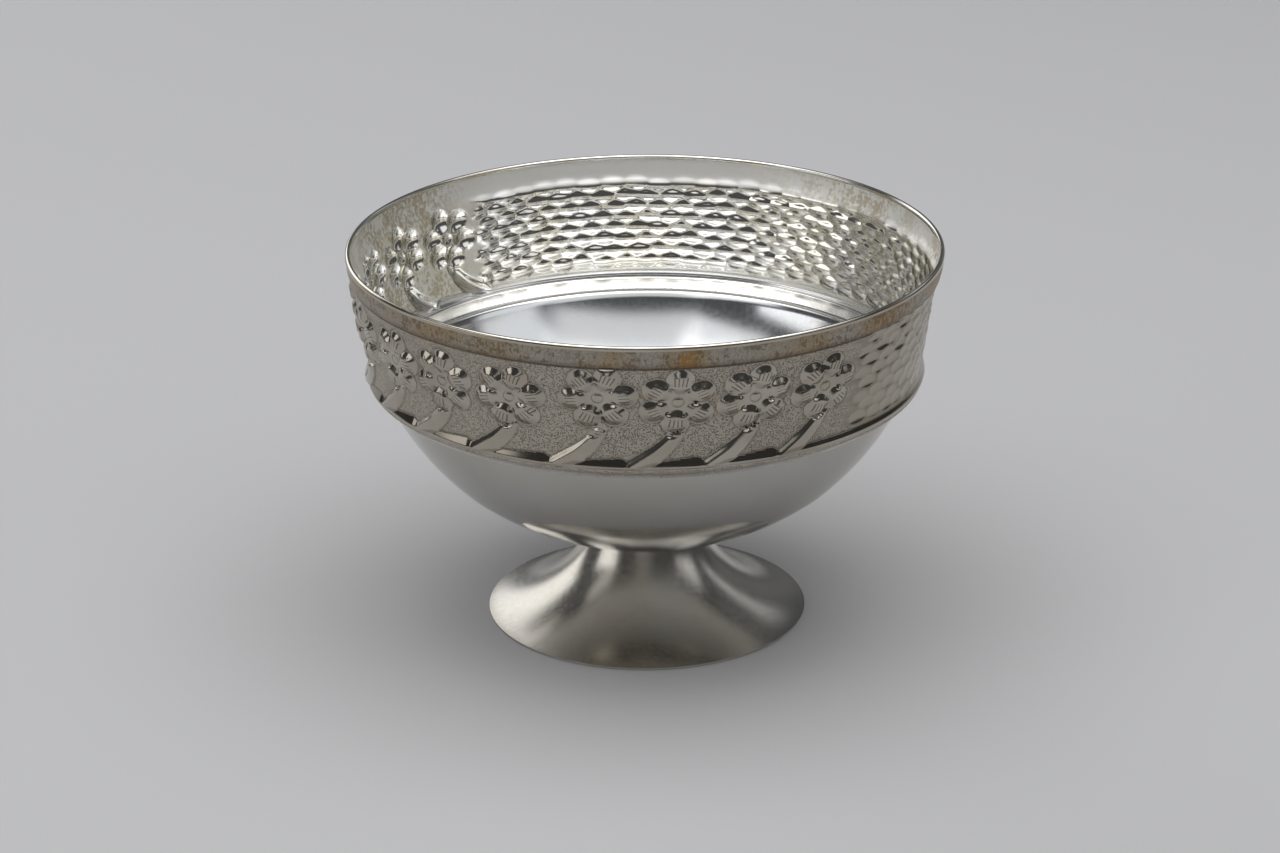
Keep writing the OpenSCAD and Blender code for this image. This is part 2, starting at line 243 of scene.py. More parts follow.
stem = {
    "route": [(0.4, -7.4), (-1.6, -13.2), (-11.6, -18.4)],  # along and up from the blossom's middle
    "height": 89.4,
    "steps": 22,
    "half": [(0, 1.8), (0.45, 2.4), (0.8, 2.5), (1, 2.3)],  # share along it, half of its width
    "edge": 1.6,  # width of the bevel on its upper side
    "edgeRounding": (0.08, 0.3),
    "rise": 1.05,
    "back": 0.35,  # share of the rise that is left at its lower side
    "backEdge": 0.35,  # width of the edge there
    "starts": 0.05,  # share along it where it has its full height
    "notch": 0.7,
    "notchAt": (-0.9, -9.3),
    "notchLong": 0.55,  # under 1 draws the notch out along the wall
    "notchReach": 1.3,
}


def petalShape(x, y, grow):  # distance from the outline of six round lobes, positive inside
    step = 2 * math.pi / blossom["petals"]
    spread = np.arctan2(y, x)
    fromPetal = spread - step * np.round(spread / step)
    fromMiddle = np.hypot(x, y)
    along = fromMiddle * np.cos(fromPetal)
    across = fromMiddle * np.sin(fromPetal)
    side = np.abs(across)
    lobe = blossom["roundRadius"] + grow
    middle = blossom["roundAt"]
    cuspAt = middle * math.cos(step / 2) + math.sqrt(lobe**2 - (middle * math.sin(step / 2)) ** 2)
    cusp = (cuspAt * math.cos(step / 2), cuspAt * math.sin(step / 2))
    beyond = (cusp[0] - middle) * side - cusp[1] * (along - middle) > 0
    distance = np.where(beyond, np.hypot(along - cusp[0], side - cusp[1]),
                        lobe - np.hypot(along - middle, side))
    valley = np.abs(fromPetal) / (step / 2)
    return distance, along, across, fromMiddle, valley


def petalTop(distance, along, across, fromMiddle, valley, isBack):  # height inside the outline, and the pits
    toValley = fromMiddle * np.sin((1 - valley) * math.pi / blossom["petals"])
    pit = np.exp(-((toValley**2 + (fromMiddle - blossom["pitAt"]) ** 2) / blossom["pitRadius"] ** 2))
    button = blossom["buttonRise"] * np.sqrt(np.clip(1 - (fromMiddle / blossom["buttonRadius"]) ** 2, 0, 1))
    creaseStart, creaseFull = blossom["creaseFrom"]
    if isBack:
        middle, wide, deep = blossom["hollow"]
        hollow = deep * (1 - ((along - middle) ** 2 + across**2) / wide**2)
        low = blossom["low"] * smoothStep(creaseFull, creaseStart, fromMiddle)
        return np.maximum(hollow, low + button * blossom["buttonBack"]), pit
    petal = blossom["rise"] * bevelRise(distance / blossom["bevel"], *blossom["bevelRounding"])
    start, end = blossom["climb"]
    climb = (fromMiddle - start - blossom["climbLater"] * valley**2) / (end - start)
    crest = blossom["low"] + (blossom["rise"] - blossom["low"]) * bevelRise(climb, *blossom["climbRounding"])
    crease = np.exp(-(toValley / blossom["creaseWide"]) ** 2)
    crease = crease * smoothStep(creaseStart, creaseFull, fromMiddle)
    top = np.minimum(petal, crest) - blossom["creaseDeep"] * crease * petal / blossom["rise"]
    return np.maximum(top - blossom["pitDeep"] * pit, button), pit


def stemDistance(u, v):  # distance from a stem's middle line, its sign above or below, and the share along it
    a, b, c = [np.array(p) for p in stem["route"]]
    t = np.linspace(0, 1, stem["steps"])[:, None]
    route = (1 - t) ** 2 * a + 2 * t * (1 - t) * b + t**2 * c
    best = np.full(u.shape, np.inf)
    share = np.zeros(u.shape)
    above = np.zeros(u.shape)
    for i in range(len(route) - 1):
        p, d = route[i], route[i + 1] - route[i]
        s = np.clip(((u - p[0]) * d[0] + (v - p[1]) * d[1]) / (d @ d), 0, 1)
        x, y = u - p[0] - s * d[0], v - p[1] - s * d[1]
        far = np.hypot(x, y)
        nearer = far < best
        best = np.where(nearer, far, best)
        share = np.where(nearer, (i + s) / (len(route) - 1), share)
        above = np.where(nearer, np.sign(x * d[1] - y * d[0]), above)
    return best, above, share


def stemShape(u, v):  # its height, and the distance from its outline, negative inside
    far, above, share = stemDistance(u, v)
    half = lineAt(stem["half"], share)
    across = far * above  # half at its upper edge, minus half at its lower
    edge = np.clip((half - across) / stem["edge"], 0, 1)
    fall = np.clip((across + half) / (2 * half - stem["edge"]), 0, 1)
    left = stem["back"] + (1 - stem["back"]) * smoothStep(0, 1, fall)
    rise = stem["rise"] * bevelRise(edge, *stem["edgeRounding"]) * left
    rise = rise * smoothStep(0, stem["backEdge"], across + half)
    notchFar = np.abs(u - stem["notchAt"][0]) * stem["notchLong"] + np.abs(v - stem["notchAt"][1])
    rise = rise - stem["notch"] * np.clip(1 - notchFar / stem["notchReach"], 0, 1)
    return np.where(far < half, rise * smoothStep(0.0, stem["starts"], share), 0), far - half


def beside(distance, strength, width):  # a strength that fades away from an outline: painted shade beside the relief, and the groove's depth and shade
    return strength * np.exp(-(distance / width) ** 2)


def blossomRelief(turn, height, radius, isBack):
    rise = np.zeros(turn.shape)
    cover = np.zeros(turn.shape)  # 1 on polished relief, 0 on the ground
    paintedShade = np.zeros(turn.shape)
    petalPlace = np.full((len(turn), 3), blossom["noPetal"])
    left, right, up = blossom["reach"]
    for angle, middle, petalTurn in blossom["places"]:
        u = np.radians(wrapTurn(turn - angle)) * radius
        near = np.where((u > left) & (u < right) & (np.abs(height - middle) < up))[0]
        u, v = u[near], height[near] - middle
        stemRise, stemFar = stemShape(u, height[near] - stem["height"])
        x, y = u / blossom["wide"], v / blossom["tall"]
        c, s = math.cos(math.radians(petalTurn)), math.sin(math.radians(petalTurn))
        x, y = c * x + s * y, c * y - s * x
        shape = petalShape(x, y, blossom["backGrow"] if isBack else 0.0)
        distance, along, across, fromMiddle = shape[:4]
        top, pit = petalTop(*shape, isBack)
        isPetal = distance > 0
        isStem = (stemFar < 0) & ~isPetal
        rise[near] = np.where(isPetal, np.maximum(rise[near], top), np.maximum(rise[near], stemRise))
        cover[near] = np.maximum(cover[near], (isPetal | isStem).astype(float))
        # painted shade on the ground beside petals and stems, and in the pits between petals
        edge = np.maximum(beside(distance, *blossom["petalShade"]),
                          beside(np.maximum(stemFar, 0), *blossom["stemShade"])) * ~isPetal * ~isStem
        paintedShade[near] = np.maximum(paintedShade[near], np.maximum(edge, blossom["pitShade"] * pit * isPetal))
        take = fromMiddle < blossom["patternReach"]
        places = near[take]
        nearest = fromMiddle[take] < petalPlace[places, 2]
        petalPlace[places[nearest]] = np.stack([along, across, fromMiddle], 1)[take][nearest]
    return rise, cover, paintedShade, petalPlace


# the branch: one piece under each blossom, rolled out of the wall over the ledge

branch = {
    "low": 71.5,
    "from": (71.5, 72.9),  # height of its upper edge where a piece begins at the left, and where it ends
    "to": 73.9,
    "climbs": (0.35, 0.3),  # share along it where the first climb ends, and where the second starts
    "slope": 0.44,
    "plainTop": 72.75,  # under the hammer marks
    "startsAt": 12.0,  # left of a blossom's middle
    "round": 75.5,  # radius that this is measured at
    "endFrom": 0.86,
    "endFall": 1.3,
    "fades": (70.25, 71.3),
    # painted shade on the roll's face under its upper edge
    "paintedDark": 0.45,
    "shadeUnder": 0.15,  # from its upper edge down
    "shadeLine": (0.8, 0.1, 0.25),  # painted shade in the crease over it: strength, height over its upper edge, width
}


def branchRelief(turn, height):  # its height, and where its upper edge is
    lands = [p[0] - math.degrees(branch["startsAt"] / branch["round"]) for p in blossom["places"]]
    share = np.full(turn.shape, -1.0)
    for right, left in zip(lands[:-1], lands[1:]):
        there = (turn <= right) & (turn > left)
        share = np.where(there, (turn - left) / (right - left), share)
    first, second = branch["from"]
    firstEnds, secondStarts = branch["climbs"]
    upper = first + (second - first) * smoothStep(0, firstEnds, share)
    upper = upper + (branch["to"] - second) * smoothStep(secondStarts, 1.0, share)
    upper = upper - branch["endFall"] * smoothStep(branch["endFrom"], 1.0, share)
    upper = np.where(share < 0, branch["plainTop"], upper)
    return branch["slope"] * np.clip(upper - height, 0, upper - branch["low"]), upper


# the hammer marks: staggered rows

marks = {
    "from": 73.8,
    "to": 98.8,
    "rows": 8,
    "pitch": 6.6,
    "crests": (0.6, 0.4),  # share of a row below the crest of a mark, inside and outside
    "spread": 1.28,
    "deep": 0.5,
    "outsideShares": (0.7, 1.35),  # of the depth in the lowest row and in the highest
    "seed": 7,
    "stray": 0.75,
    "strayUp": 0.7,  # share of it up and down
    "strengths": (0.7, 1.25),
    "starts": 44.0,
    "ends": 218.6,
    "round": 77.0,
    "ragged": 1.3,  # how far the two ends of the rows wander
    "waves": [(1.0, 1.1, 0), (0.6, 2.7, 1)],  # share of it, how often, start
    "otherEnd": 5,  # the last end follows the waves this far on
    "fade": (-1.5, 1.5),
    "finishFade": (-2.5, 1.5),
    "paintedDark": 0.4,  # painted shade between the marks
    "shadeTo": (0.05, 0.6),
    "shadeOver": 0.4,  # from the branch up
}


def endWander(height):
    waves = [share * np.sin(height * often + start) for share, often, start in marks["waves"]]
    return marks["ragged"] * sum(waves)


def alongRows(turn):  # round the wall from the first mark, and the length of the rows
    along = np.radians(np.where(turn < -90, turn + 360, turn) - marks["starts"]) * marks["round"]
    return along, math.radians(marks["ends"] - marks["starts"]) * marks["round"]


def betweenEnds(turn, height, before, after):
    along, length = alongRows(turn)
    return (smoothStep(before, after, along + endWander(height))
            * smoothStep(before, after, length - along + endWander(height + marks["otherEnd"])))


def hammerRelief(turn, height, isBack):  # struck from outside, so bosses inside
    rng = np.random.default_rng(marks["seed"])
    rowStep = (marks["to"] - marks["from"]) / marks["rows"]
    along, length = alongRows(turn)
    count = int(length / marks["pitch"]) + 1
    grid = (marks["rows"], count + 2)
    strayAlong = rng.uniform(-1, 1, grid) * marks["stray"]
    strayUp = rng.uniform(-1, 1, grid) * marks["stray"] * marks["strayUp"]
    strength = rng.uniform(*marks["strengths"], grid)
    best = np.zeros(turn.shape)
    crest = marks["crests"][0 if isBack else 1]
    row = np.floor((height - marks["from"]) / rowStep).astype(int)
    for rowShift in (-1, 0, 1):
        r = row + rowShift
        inRows = (r >= 0) & (r < marks["rows"])
        r = np.clip(r, 0, marks["rows"] - 1)
        offset = 0.5 * (r % 2)
        column = np.floor(along / marks["pitch"] - offset).astype(int)
        for columnShift in (-1, 0, 1):
            c = column + columnShift
            inside = inRows & (c >= 0) & (c <= count)
            c = np.clip(c, 0, count)
            du = along - (c + 0.5 + offset) * marks["pitch"] - strayAlong[r, c]
            dv = height - marks["from"] - (r + crest) * rowStep - strayUp[r, c]
            reach = np.where(dv > 0, 1 - crest, crest) * rowStep * marks["spread"]
            depth = 1 - (du / (0.5 * marks["pitch"] * marks["spread"])) ** 2 - (dv / reach) ** 2
            best = np.maximum(best, np.where(inside, strength[r, c] * depth, 0))
    ends = betweenEnds(turn, height, *marks["fade"])
    upward = smoothStep(marks["from"], marks["to"], height)
    low, high = (1.0, 1.0) if isBack else marks["outsideShares"]
    return -marks["deep"] * (low + (high - low) * upward) * best * ends, best


# the wall in three sectors, each swept from the section and then chased

def chasedFace(turn, height, radius, isBack):  # the relief of one face, and what its finish reads
    relief, cover, paintedShade, petalPlace = blossomRelief(turn, height, radius, isBack)
    roll, upper = branchRelief(turn, height)
    hammered, dents = hammerRelief(turn, height, isBack)
    struck = betweenEnds(turn, height, *marks["finishFade"])
    rise = np.where((cover > 0) | (roll > 0), np.maximum(relief, roll), hammered)
    rolled = height < upper
    # painted shade beside the relief, in the crease over the branch, between the hammer marks and on the roll
    strength, over, width = branch["shadeLine"]
    paintedShade = np.maximum(paintedShade * (~rolled), beside(height - upper - over, strength, width) * (cover < 0.5))
    hammerShade = marks["paintedDark"] * (1 - smoothStep(*marks["shadeTo"], dents)) * struck
    paintedShade = np.maximum(paintedShade, hammerShade * (height > upper + marks["shadeOver"]) * (height < marks["to"]))
    inRoll = rolled * (height < upper - branch["shadeUnder"]) * (height > branch["low"])
    paintedShade = np.maximum(paintedShade, branch["paintedDark"] * inRoll)
    return rise, np.maximum(cover, rolled), paintedShade, struck, petalPlace


def chasedSector(name, fromTurn, toTurn):
    face, back = wallOutline()
    piece = outlineRing(name, face + back)
    onlySelect(piece)
    piece.rotation_euler[2] = math.radians(fromTurn - 90)
    bpy.ops.object.transform_apply(location=False, rotation=True, scale=False)
    markBack(piece, len(face))
    sweepRound(wall["steps"], wall["copies"], math.radians(toTurn - fromTurn))
    mesh = piece.data
    count = len(mesh.vertices)
    co = np.empty(count * 3)
    mesh.vertices.foreach_get("co", co)
    co = co.reshape(-1, 3) / mm
    isBack = np.empty(count)
    mesh.attributes["isBack"].data.foreach_get("value", isBack)
    isBack = isBack > 0.5
    turn = wrapTurn(np.degrees(np.arctan2(co[:, 1], co[:, 0])) + 90)
    radius = np.hypot(co[:, 0], co[:, 1])
    height = co[:, 2]
    rise, cover, paintedShade, struck = np.zeros((4, count))
    places = np.full((count, 3), blossom["noPetal"])
    for side in (False, True):
        pick = np.where((isBack == side) & (height > branch["fades"][0]))[0]
        rise[pick], cover[pick], paintedShade[pick], struck[pick], places[pick] = chasedFace(
            turn[pick], height[pick], radius[pick], side)
    rise *= smoothStep(*branch["fades"], height)
    groove = beside(height - wall["groove"], 1.0, wall["grooveWide"]) * (~isBack)
    rise -= wall["grooveDeep"] * groove
    # painted shade along the groove
    paintedShade = np.maximum(paintedShade, wall["grooveShade"] * groove)
    scale = (radius + rise) / radius
    co[:, 0] *= scale
    co[:, 1] *= scale
    mesh.vertices.foreach_set("co", (co * mm).ravel())
    for key, values in (("cover", cover), ("paintedShade", paintedShade), ("struck", struck), ("tarnish", tarnishAt(turn))):
        mesh.attributes.new(key, "FLOAT", "POINT").data.foreach_set("value", values)
    mesh.attributes.new("petalPlace", "FLOAT_VECTOR", "POINT").data.foreach_set("vector", places.ravel())
    mesh.update()
    onlySelect(piece)
    bpy.ops.object.shade_smooth_by_angle(angle=math.radians(wall["sharpOver"]))
    settle(piece, "chased_band")
    print("chased wall", name, count, "points")
    return piece


bandPieces = [chasedSector(name, *turns) for name, turns in wall["sectors"].items()]


# the lip wire, half round on the end of the wall

lip = {
    "outside": 80.0,
    "wide": 1.4,
    "from": 104.2,
    "to": 105.4,
    "arcPoints": 15,
    "firstBack": 5,  # point of the outline where its inside, with a painted highlight along its top, begins
    "sharpOver": 40,
}


def lipWire():
    half = lip["wide"] / 2
    middle = (lip["outside"] - half, lip["to"] - half)
    outline = [(middle[0] + half, lip["from"])] + arcPoints(middle, half, 0, math.pi, lip["arcPoints"])
    outline += [(middle[0] - half, lip["from"])]
    piece = turned("lipWire", outline, lip["sharpOver"], firstBack=lip["firstBack"])
    settle(piece, "lip_wire")
    print("lip wire")
    return piece


# the dish: a ball's cap, with a flatter cap at its bottom

dish = {
    "sheet": 0.9,
    "rimRadius": 70.9,
    "rimHeight": 67.6,
    "rimInset": 1.03,  # sheets between the two faces where they end on the ledge
    "bottom": 22.9,
    "flat": 1.5,
    "flatRadius": 52.7,
    "points": 72,
    "steps": 18,
    "sharpOver": 50,
}


def ballRadius(circleRadius, rise):
    return (circleRadius**2 + rise**2) / (2 * rise)


def dishLine(inset, steps):  # from the axis up to the ledge, where the inset face ends on the same slope
    sideBall = ballRadius(dish["rimRadius"], dish["rimHeight"] - dish["bottom"] + dish["flat"])
    sideMiddle = dish["bottom"] - dish["flat"] + sideBall
    flatRise = sideMiddle - math.sqrt(sideBall**2 - dish["flatRadius"] ** 2) - dish["bottom"]
    bottomBall = ballRadius(dish["flatRadius"], flatRise)
    bottomMiddle = dish["bottom"] + bottomBall
    rim = dish["rimRadius"] - inset * dish["rimInset"]
    points = []
    for r in np.sin(np.linspace(0, math.asin(rim / sideBall), steps)) * sideBall:
        low = bottomMiddle - math.sqrt((bottomBall - inset) ** 2 - min(r, bottomBall - inset) ** 2)
        side = sideMiddle - math.sqrt(max((sideBall - inset) ** 2 - r**2, 0))
        points.append((float(r), float(max(low, side))))
    points[-1] = (rim, dish["rimHeight"] - (dish["rimRadius"] - rim) * math.tan(wall["ledgeFall"]))
    return points


def footedDish():
    outside = dishLine(0.0, dish["points"])
    inside = dishLine(dish["sheet"], dish["points"])
    piece = turned("dish", outside + inside[::-1], dish["sharpOver"],
                   steps=dish["steps"], firstBack=len(outside))
    settle(piece, "dish")
    print("dish")
    return piece


# the foot

foot = {
    "sheet": 0.9,
    "edgeRadius": 43.7,
    "edgeHigh": 0.7,
    "edge": [(0.22, 0.0), (0.06, 0.07), (0.0, 0.25), (0.0, 0.5)],  # inwards from its radius, height
    "neckRadius": 15.6,
    "neckHeight": 22.9,
    "sweep": 38.5,  # radius of the curve between them
    "tops": (15.2, 14.2),  # radii where the two faces meet the dish
    "dishPoints": 400,  # of the dish's line, to find their heights
    "points": 60,
    "sharpOver": 50,
}


def footLine(inset, lowest, highest, steps):
    half = np.array([foot["neckRadius"] - foot["edgeRadius"], foot["neckHeight"] - foot["edgeHigh"]]) / 2
    far = math.sqrt(foot["sweep"] ** 2 - half @ half) / math.hypot(*half)
    middle = (foot["edgeRadius"] + half[0] + half[1] * far, foot["edgeHigh"] + half[1] - half[0] * far)
    sweep = foot["sweep"] + inset
    low = math.asin((lowest - middle[1]) / sweep)
    high = math.asin((highest - middle[1]) / sweep)
    return [(middle[0] - sweep * math.cos(t), middle[1] + sweep * math.sin(t))
            for t in np.linspace(low, high, steps)]


def trumpetFoot():
    underDish = dishLine(0.0, foot["dishPoints"])
    topOutside, topInside = [nearestTo(underDish, radius)[1] for radius in foot["tops"]]
    edge = [(foot["edgeRadius"] - inwards, up) for inwards, up in foot["edge"]]
    outside = footLine(0.0, foot["edgeHigh"], topOutside, foot["points"])
    inside = footLine(foot["sheet"], 0.0, topInside, foot["points"])
    piece = turned("foot", edge + outside + inside[::-1], foot["sharpOver"])
    settle(piece, "foot")
    print("foot")
    return piece


# the solder in the two corners

solder = {
    "dishPoints": 600,
    "ledgeReach": 1.1,
    "ledgeHollow": (0.28, -0.12),  # outwards and up from the rim, in shares of its reach
    "neckReach": 1.6,
    "neckHollow": (0.42, 0.29),  # shares of the corner, and of each end
    "sharpOver": 40,
}


def solderRings():
    underside = dishLine(0.0, solder["dishPoints"])
    reach = solder["ledgeReach"]
    rim = (dish["rimRadius"], dish["rimHeight"])
    ledgeLow = min(underside, key=lambda p: abs(p[1] - (rim[1] - reach)))
    ledgeOut = (rim[0] + reach, rim[1] + reach * math.tan(wall["ledgeFall"]))
    ledgeHollow = (rim[0] + solder["ledgeHollow"][0] * reach, rim[1] + solder["ledgeHollow"][1] * reach)
    ledge = turned("ledgeSolder", [ledgeLow, ledgeHollow, ledgeOut, rim], solder["sharpOver"])
    settle(ledge, "ledge_solder")
    neckOut = nearestTo(underside, foot["neckRadius"] + solder["neckReach"])
    neckTop = nearestTo(underside, foot["tops"][0])
    neckLow = footLine(0.0, neckTop[1] - solder["neckReach"], neckTop[1], 2)[0]
    corner, end = solder["neckHollow"]
    neckHollow = [corner * top + end * (out + low) for top, out, low in zip(neckTop, neckOut, neckLow)]
    neck = turned("neckSolder", [neckLow, neckHollow, neckOut, neckTop], solder["sharpOver"])
    settle(neck, "neck_solder")
    print("solder")
    return ledge, neck


lipPiece = lipWire()
dishPiece = footedDish()
footPiece = trumpetFoot()
ledgeSolder, neckSolder = solderRings()


# nodes for the finishes and the lamps

def addNode(tree, kind, inputs=None, **settings):  # an input is a value or another node's output
    node = tree.nodes.new("ShaderNode" + kind)
    for key, value in settings.items():
        setattr(node, key, value)
    for key, value in (inputs or {}).items():
        if isinstance(value, bpy.types.NodeSocket):
            tree.links.new(value, node.inputs[key])
        else:
            node.inputs[key].default_value = value
    return node


def maths(tree, operation, a, b=None):
    return addNode(tree, "Math", {0: a} if b is None else {0: a, 1: b}, operation=operation).outputs[0]


def fadeNode(tree, value, low, high):  # from 0 at low to 1 at high
    inputs = {"Value": value, "From Min": low, "From Max": high}
    return addNode(tree, "MapRange", inputs, interpolation_type="SMOOTHSTEP").outputs["Result"]


def mixNode(tree, factor, a, b):  # a colour is three numbers or another node's output
    a, b = [(*colour, 1) if isinstance(colour, tuple) else colour for colour in (a, b)]
    return addNode(tree, "Mix", {0: factor, 6: a, 7: b}, data_type="RGBA").outputs[2]


def noiseNode(tree, place, scale, detail, stretch=None):
    if stretch:
        place = addNode(tree, "Mapping", {"Vector": place, "Scale": stretch}).outputs["Vector"]
    return addNode(tree, "TexNoise", {"Vector": place, "Scale": scale, "Detail": detail}).outputs["Fac"]


def bumpNode(tree, height, distance, normal=None):
    inputs = {"Strength": 1.0, "Distance": distance, "Height": height}
    if normal:
        inputs["Normal"] = normal
    return addNode(tree, "Bump", inputs).outputs["Normal"]


def newFinish(name):
    material = bpy.data.materials.new(name)
    material.use_nodes = True
    return material, material.node_tree, material.node_tree.nodes["Principled BSDF"]


# polished silver

polish = {
    "cloudDetail": 5.0,
    "cloudy": (0.32, 0.62),  # where the cloud is dulled, and where it is clean
    "fine": (900.0, 6.0),  # scale and detail, as for the waves and the hairlines
    "fineRange": (0.3, 0.7),
    "roughShares": (0.85, 1.2),
    "waves": (45.0, 1.0),
    "hairlines": (700.0, 3.0),
    "hairlineWays": [(1.0, 0.08, 0.35), (0.08, 1.0, 0.35)],
    "fineShare": 0.5,  # of the depth of the hairlines
}

finishes = {  # wavy and scratched are depths in metres
    # the dish's outside, facing down to the floor, is painted darker than its inside: painted shade; the
    # lighter, bluer inside is a painted reflection
    "dish": {
        "colour": (0.55, 0.54, 0.51), "inside": (0.80, 0.82, 0.84), "dulled": (0.93, 0.91, 0.88),
        "cloudScale": 38.0, "roughness": 0.14, "wavy": 0.00004, "scratched": 0.000003},
    "foot": {
        "colour": (0.66, 0.64, 0.595), "dulled": (0.93, 0.90, 0.86),
        "cloudScale": 32.0, "roughness": 0.22, "wavy": 0.00004, "scratched": 0.000003},
    # the wire's top and inside are painted much lighter than its outside: a painted highlight along its top
    "wire": {
        "colour": (0.50, 0.46, 0.39), "inside": (0.88, 0.87, 0.84), "dulled": (0.86, 0.80, 0.70),
        "cloudScale": 90.0, "roughness": 0.16, "wavy": 0.00002, "scratched": 0.000002},
    # the neck solder is painted dark: painted shade in the corner under the dish
    "neckSolder": {
        "colour": (0.30, 0.28, 0.26), "dulled": (0.8, 0.75, 0.7),
        "cloudScale": 160.0, "roughness": 0.35, "wavy": 0.00005, "scratched": 0.00001},
    # the ledge solder is painted light: a painted highlight along the ledge
    "ledgeSolder": {
        "colour": (0.78, 0.77, 0.74), "dulled": (0.85, 0.82, 0.78),
        "cloudScale": 160.0, "roughness": 0.24, "wavy": 0.00005, "scratched": 0.00001},
}


def silver(name, finish):
    material, tree, shader = newFinish(name)
    shader.inputs["Metallic"].default_value = 1.0
    place = addNode(tree, "TexCoord").outputs["Object"]
    cloud = noiseNode(tree, place, finish["cloudScale"], polish["cloudDetail"])

    def clouded(clean):
        node = addNode(tree, "ValToRGB", {"Fac": cloud})
        dull = tuple(c * d for c, d in zip(clean, finish["dulled"]))
        for stop, position, colour in zip(node.color_ramp.elements, polish["cloudy"], (dull, clean)):
            stop.position = position
            stop.color = (*colour, 1)
        return node.outputs["Color"]

    colour = clouded(finish["colour"])
    if "inside" in finish:
        isBack = addNode(tree, "Attribute", attribute_name="isBack").outputs["Fac"]
        colour = mixNode(tree, isBack, colour, clouded(finish["inside"]))
    tree.links.new(colour, shader.inputs["Base Color"])
    fine = noiseNode(tree, place, *polish["fine"])
    rough = addNode(tree, "MapRange", {
        "Value": fine,
        "From Min": polish["fineRange"][0],
        "From Max": polish["fineRange"][1],
        "To Min": finish["roughness"] * polish["roughShares"][0],
        "To Max": finish["roughness"] * polish["roughShares"][1],
    })
    tree.links.new(rough.outputs["Result"], shader.inputs["Roughness"])
    normal = bumpNode(tree, noiseNode(tree, place, *polish["waves"]), finish["wavy"])
    for way in polish["hairlineWays"]:
        hairlines = noiseNode(tree, place, *polish["hairlines"], way)
        normal = bumpNode(tree, hairlines, finish["scratched"], normal)
    normal = bumpNode(tree, fine, finish["scratched"] * polish["fineShare"], normal)
    tree.links.new(normal, shader.inputs["Normal"])
    return material


# chased silver, which reads the wall's attributes

chasing = {
    "relief": (0.48, 0.445, 0.385),
    "reliefDull": (0.41, 0.375, 0.315),
    "ground": (0.50, 0.46, 0.395),
    "groundLow": (0.20, 0.17, 0.13),
    "hammered": (0.41, 0.37, 0.305),
    "collar": (0.38, 0.355, 0.31),
    "collarWarm": (0.37, 0.275, 0.15),
    # the colour of the painted shade, also used for the engraved lines
    "paintedShade": (0.10, 0.075, 0.05),
    "brown": (0.13, 0.085, 0.05),
    "orange": (0.33, 0.19, 0.07),
    "inside": (0.96, 0.95, 0.92),
    "insideDull": (0.92, 0.885, 0.78),
    # a painted highlight, whiter than the inside
    "paintedHighlight": (0.97, 0.965, 0.95),
    "gold": (0.52, 0.42, 0.24),
    # scale and detail of the patterns
    "cloud": (60.0, 5.0),
    "speck": (420.0, 3.0),
    "streak": (1300.0, 2.0),
    "upright": (1.0, 1.0, 0.06),  # draws the streaks out along the axis
    "blotch": (900.0, 8.0),
    "patch": (150.0, 4.0),
    "warmth": (70.0, 5.0),
    "scribble": (2200.0, 2.0),
    "stipple": 2300.0,
    # where they fade from 0 to 1
    "cloudy": (0.35, 0.65),
    "pitted": (0.15, 0.55),
    "spotted": (0.60, 0.70),
    "scribbled": (0.5, 0.62),
    "streaked": (0.48, 0.7),
    "warmed": (0.3, 0.6),
    "insideCloudy": (0.35, 0.7),
    "golden": (0.38, 0.66),
    # and where the tarnish does
    "warmTarnish": (0.1, 0.8),
    "burntTarnish": (1.0, 1.15),
    "goldTarnish": (0.12, 0.5),
    # how much one pattern adds to another
    "streakInBlotch": 0.35,
    "patchInBlotch": 0.7,
    "tarnishInBlotch": 0.12,
    "tarnishInScribble": 0.06,
    # how much each colour covers
    "streaks": 0.5,
    "spots": 0.55,
    "tarnishAndShadeByGroove": 0.45,
    "lines": 0.7,
    # share of the painted shade and the engraved lines
    "paintedDarkShare": 0.95,
    "golds": 0.7,
    "collarHighlight": 0.7,
    "collarFade": 0.3,  # millimetres from the groove up
    # heights in metres
    "grooveBrown": (0.0994, 0.1012),
    "insideCollar": (0.0970, 0.0984),
    "satinFrom": (0.0728, 0.0742),
    "ledgeTop": (0.0716, 0.0736),
    # the engraved lines, in millimetres on a petal
    "fan": (0.075, 0.5),  # spacing, for each millimetre from the middle and at the middle
    "lineEdge": (0.07, 0.17),  # in shares of the spacing
    "lineStart": (4.9, 5.3),
    "lineEnd": (7.2, 7.7),
    "lineSide": (1.75, 1.95),
    "ring": 1.45,
    "ringEdge": (0.08, 0.24),
    "ringShare": 0.4,
    # roughness, and what each place adds to it
    "rough": {"all": 0.19, "ground": 0.26, "polished": -0.07, "speck": 0.08, "collar": 0.14,
              "back": -0.12, "satin": 0.44, "ledgeTop": 0.08},
    # bump in metres
    "deep": {"stipple": 0.0001, "engraved": -0.00013, "speck": 0.000008, "streak": 0.00001},
}


